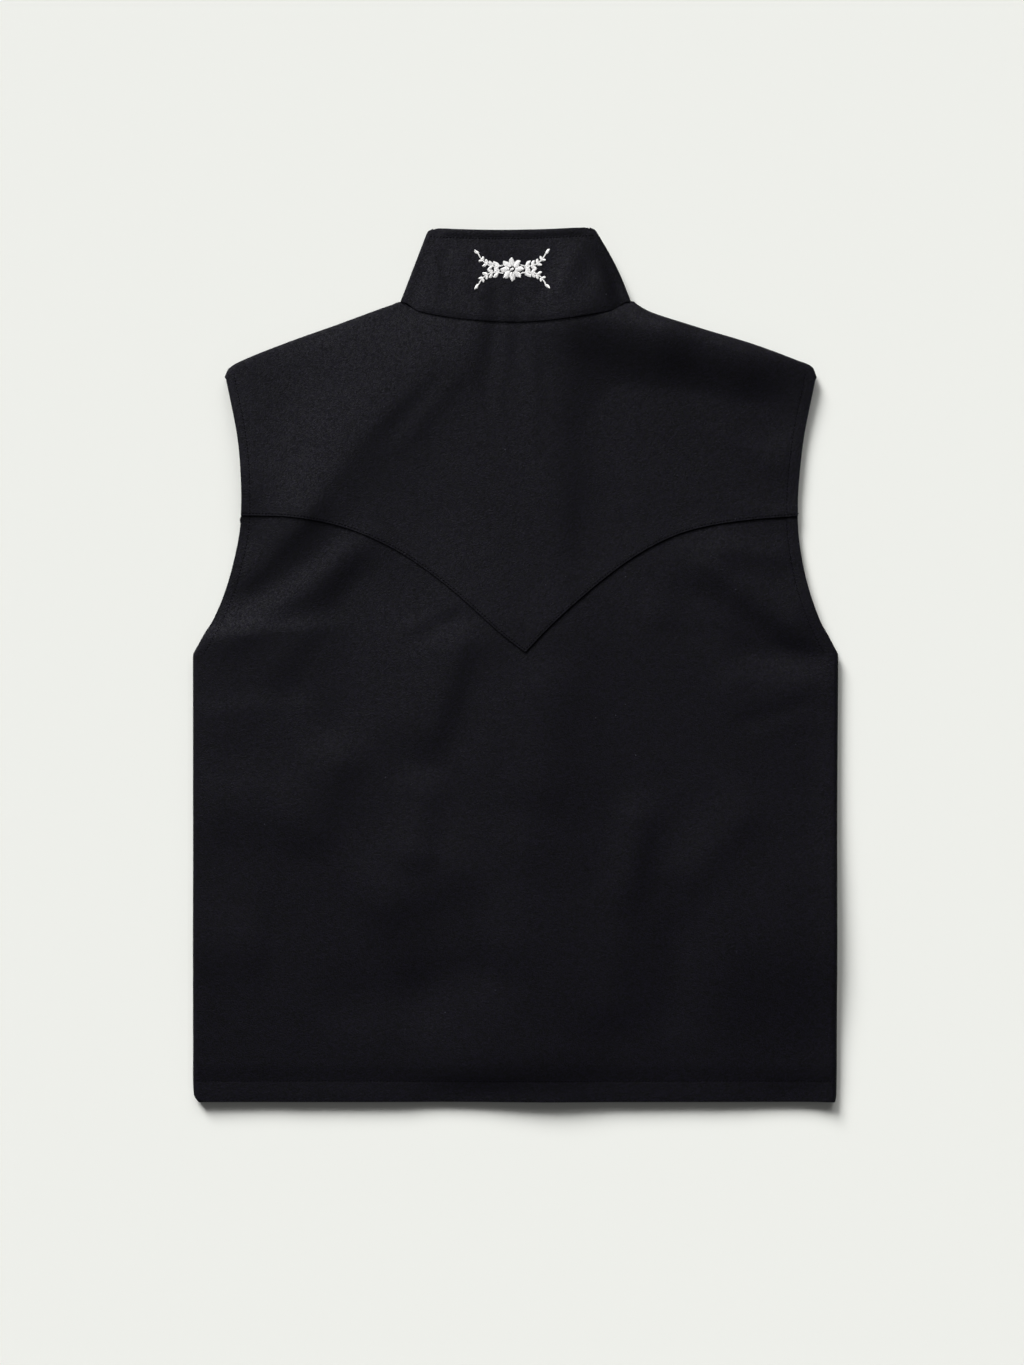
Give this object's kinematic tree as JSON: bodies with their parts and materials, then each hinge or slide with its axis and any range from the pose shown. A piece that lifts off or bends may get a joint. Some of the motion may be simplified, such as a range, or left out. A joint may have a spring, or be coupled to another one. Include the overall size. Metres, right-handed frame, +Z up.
{
  "type": "wool vest",
  "caption": "Sleeveless wool vest with a pointed back yoke, tall stand collar and lapped press-stud front, laid flat with its back up.",
  "frame": {"origin": "under the middle of the vest's outline, on the surface it lies on", "axes": "+Z up out of the back of the vest, +Y from the hem to the collar, +X to the picture's right"},
  "size_m": [0.5807, 0.7851, 0.0138],
  "materials": {
    "wool": "felted, matt, near black",
    "stud_metal": "dark satin"
  },
  "bodies": {
    "root": {"back_yoke": "wool", "back_body": "wool", "front_left": "wool", "front_right": "wool", "collar": "wool", "press_stud_1": "stud_metal", "press_stud_2": "stud_metal", "press_stud_3": "stud_metal", "press_stud_4": "stud_metal", "press_stud_5": "stud_metal", "press_stud_6": "stud_metal", "press_stud_7": "stud_metal"}
  },
  "joints": []
}
